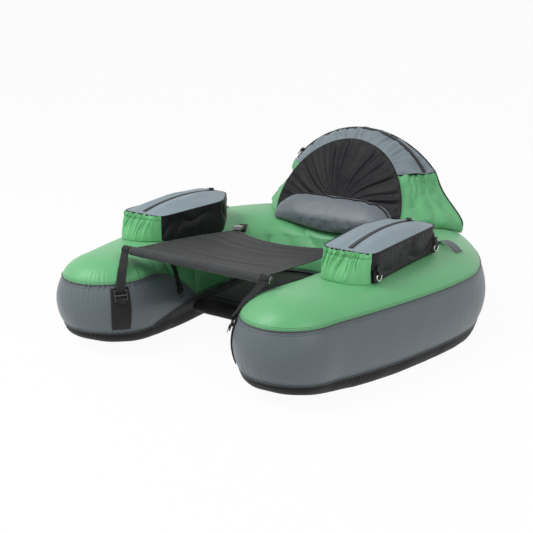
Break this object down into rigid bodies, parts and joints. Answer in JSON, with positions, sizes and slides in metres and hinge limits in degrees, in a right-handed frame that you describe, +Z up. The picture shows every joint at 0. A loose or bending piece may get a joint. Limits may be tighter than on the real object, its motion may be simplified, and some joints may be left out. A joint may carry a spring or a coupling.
{
  "type": "fishing float tube",
  "caption": "Inflatable U-shaped fishing float tube with an open bow, seat, domed backrest, mesh apron on a cross bar and zipped gear bags.",
  "frame": {"origin": "centre of the bounding box's base, on the surface that the craft stands on", "axes": "+Z up, -Y towards the open bow, +X to the craft's right hand side as seen in plan with the bow down"},
  "size_m": [1.1196, 1.31, 0.5343],
  "materials": {
    "green_fabric": "satin coated polyester",
    "grey_fabric": "satin coated polyester",
    "black_fabric": "coarse black nylon",
    "bladder_vinyl": "smooth vinyl coated air cell",
    "bag_grey": "blue grey woven nylon",
    "pocket_green": "gathered green stretch nylon",
    "apron_mesh": "charcoal open mesh",
    "webbing": "black ribbed webbing",
    "grey_webbing": "grey ribbed webbing",
    "zip_black": "black coil zip tape",
    "black_plastic": "moulded black",
    "grey_plastic": "moulded grey",
    "steel": "nickel plated",
    "bar_aluminium": "plain drawn tube"
  },
  "bodies": {
    "hull": {"hull_top_cover": "green_fabric", "hull_side_band": "grey_fabric", "hull_bottom_cover": "black_fabric", "air_bladder_left": "bladder_vinyl", "air_bladder_right": "bladder_vinyl", "valve_left": "grey_plastic", "valve_right": "grey_plastic", "stabilizer_bar": "bar_aluminium", "bar_plug_left": "steel", "bar_plug_right": "steel", "tip_patch_left": "webbing", "tip_patch_right": "webbing", "ladder_lock_left": "black_plastic", "ladder_lock_right": "black_plastic", "front_strap_left": "webbing", "front_strap_right": "webbing", "buckle_housing_left": "grey_plastic", "buckle_housing_right": "grey_plastic", "anchor_strap_left": "webbing", "anchor_strap_right": "webbing", "seat_cushion": "black_fabric", "seat_mesh": "apron_mesh", "seat_strap_left": "webbing", "seat_strap_right": "webbing", "bag_body_left": "black_fabric", "bag_lid_left": "bag_grey", "bag_zip_left": "zip_black", "bag_pocket_left": "pocket_green", "bag_tab_front_left": "webbing", "bag_tab_rear_left": "webbing", "bag_body_right": "black_fabric", "bag_lid_right": "bag_grey", "bag_zip_right": "zip_black", "bag_pocket_right": "pocket_green", "bag_tab_front_right": "webbing", "bag_tab_rear_right": "webbing", "lumbar_pad": "grey_fabric", "back_panel": "black_fabric", "pouch_top": "grey_fabric", "pouch_body": "green_fabric", "back_zip": "zip_black", "carry_handle_left": "grey_webbing", "carry_handle_right": "grey_webbing"},
    "apron": {"apron_mesh": "apron_mesh"},
    "back_slider": {"back_slider": "black_plastic"},
    "back_pull": {"back_pull": "black_plastic"},
    "tongue_left": {"buckle_tongue_left": "grey_plastic"},
    "bag_ring_front_left": {"bag_ring_front_left": "steel"},
    "bag_ring_rear_left": {"bag_ring_rear_left": "steel"},
    "seat_ring_left": {"seat_ring_left": "steel"},
    "bag_slider_left": {"bag_slider_left": "black_plastic"},
    "bag_pull_left": {"bag_pull_left": "black_plastic"},
    "valve_cap_left": {"valve_cap_left": "black_plastic"},
    "tongue_right": {"buckle_tongue_right": "grey_plastic"},
    "bag_ring_front_right": {"bag_ring_front_right": "steel"},
    "bag_ring_rear_right": {"bag_ring_rear_right": "steel"},
    "seat_ring_right": {"seat_ring_right": "steel"},
    "bag_slider_right": {"bag_slider_right": "black_plastic"},
    "bag_pull_right": {"bag_pull_right": "black_plastic"},
    "valve_cap_right": {"valve_cap_right": "black_plastic"}
  },
  "joints": [
    {"name": "apron_swing", "type": "hinge", "parent": "hull", "child": "apron", "pos_m": [0, -0.5015, 0.2737], "axis": [1, 0, 0], "range_deg": [0, 110]},
    {"name": "tongue_slide_left", "type": "slide", "parent": "apron", "child": "tongue_left", "axis": [0.4531, -0.8892, 0.0639], "range_m": [0, 0.03]},
    {"name": "bag_ring_front_left_swing", "type": "hinge", "parent": "hull", "child": "bag_ring_front_left", "pos_m": [-0.4382, -0.2975, 0.27216], "axis": [0, 1, 0], "range_deg": [0, 150]},
    {"name": "bag_ring_rear_left_swing", "type": "hinge", "parent": "hull", "child": "bag_ring_rear_left", "pos_m": [-0.4382, 0.0205, 0.28056], "axis": [0, 1, 0], "range_deg": [0, 150]},
    {"name": "seat_ring_left_swing", "type": "hinge", "parent": "hull", "child": "seat_ring_left", "pos_m": [-0.17079, -0.36, 0.128], "axis": [0, -1, 0], "range_deg": [0, 150]},
    {"name": "bag_slider_left_travel", "type": "hinge", "parent": "hull", "child": "bag_slider_left", "pos_m": [-0.355, -0.11974, -0.55104], "axis": [1, 0, 0], "range_deg": [0, 19.22]},
    {"name": "bag_pull_left_lift", "type": "hinge", "parent": "bag_slider_left", "child": "bag_pull_left", "pos_m": [-0.355, 0.01267, 0.34604], "axis": [-1, 0, 0], "range_deg": [0, 160]},
    {"name": "valve_cap_left_turn", "type": "hinge", "parent": "hull", "child": "valve_cap_left", "pos_m": [-0.15002, 0.42004, 0.25339], "axis": [-0.0581, 0.096, 0.9937], "range_deg": [0, 360]},
    {"name": "tongue_slide_right", "type": "slide", "parent": "apron", "child": "tongue_right", "axis": [-0.4531, -0.8892, 0.0639], "range_m": [0, 0.03]},
    {"name": "bag_ring_front_right_swing", "type": "hinge", "parent": "hull", "child": "bag_ring_front_right", "pos_m": [0.4382, -0.2975, 0.27216], "axis": [0, -1, 0], "range_deg": [0, 150]},
    {"name": "bag_ring_rear_right_swing", "type": "hinge", "parent": "hull", "child": "bag_ring_rear_right", "pos_m": [0.4382, 0.0205, 0.28056], "axis": [0, -1, 0], "range_deg": [0, 150]},
    {"name": "seat_ring_right_swing", "type": "hinge", "parent": "hull", "child": "seat_ring_right", "pos_m": [0.17079, -0.36, 0.128], "axis": [0, 1, 0], "range_deg": [0, 150]},
    {"name": "bag_slider_right_travel", "type": "hinge", "parent": "hull", "child": "bag_slider_right", "pos_m": [0.355, -0.11974, -0.55104], "axis": [1, 0, 0], "range_deg": [0, 19.22]},
    {"name": "bag_pull_right_lift", "type": "hinge", "parent": "bag_slider_right", "child": "bag_pull_right", "pos_m": [0.355, 0.01267, 0.34604], "axis": [-1, 0, 0], "range_deg": [0, 160]},
    {"name": "valve_cap_right_turn", "type": "hinge", "parent": "hull", "child": "valve_cap_right", "pos_m": [0.15002, 0.42004, 0.25339], "axis": [0.0581, 0.096, 0.9937], "range_deg": [0, 360]},
    {"name": "back_slider_travel", "type": "hinge", "parent": "hull", "child": "back_slider", "pos_m": [0, 0.29957, 0.2391], "axis": [0, 0.9839, -0.1787], "range_deg": [0, 94.16]},
    {"name": "back_pull_lift", "type": "hinge", "parent": "back_slider", "child": "back_pull", "pos_m": [-0.22237, 0.33652, 0.44253], "axis": [0, 0.9839, -0.1787], "range_deg": [0, 160]}
  ]
}
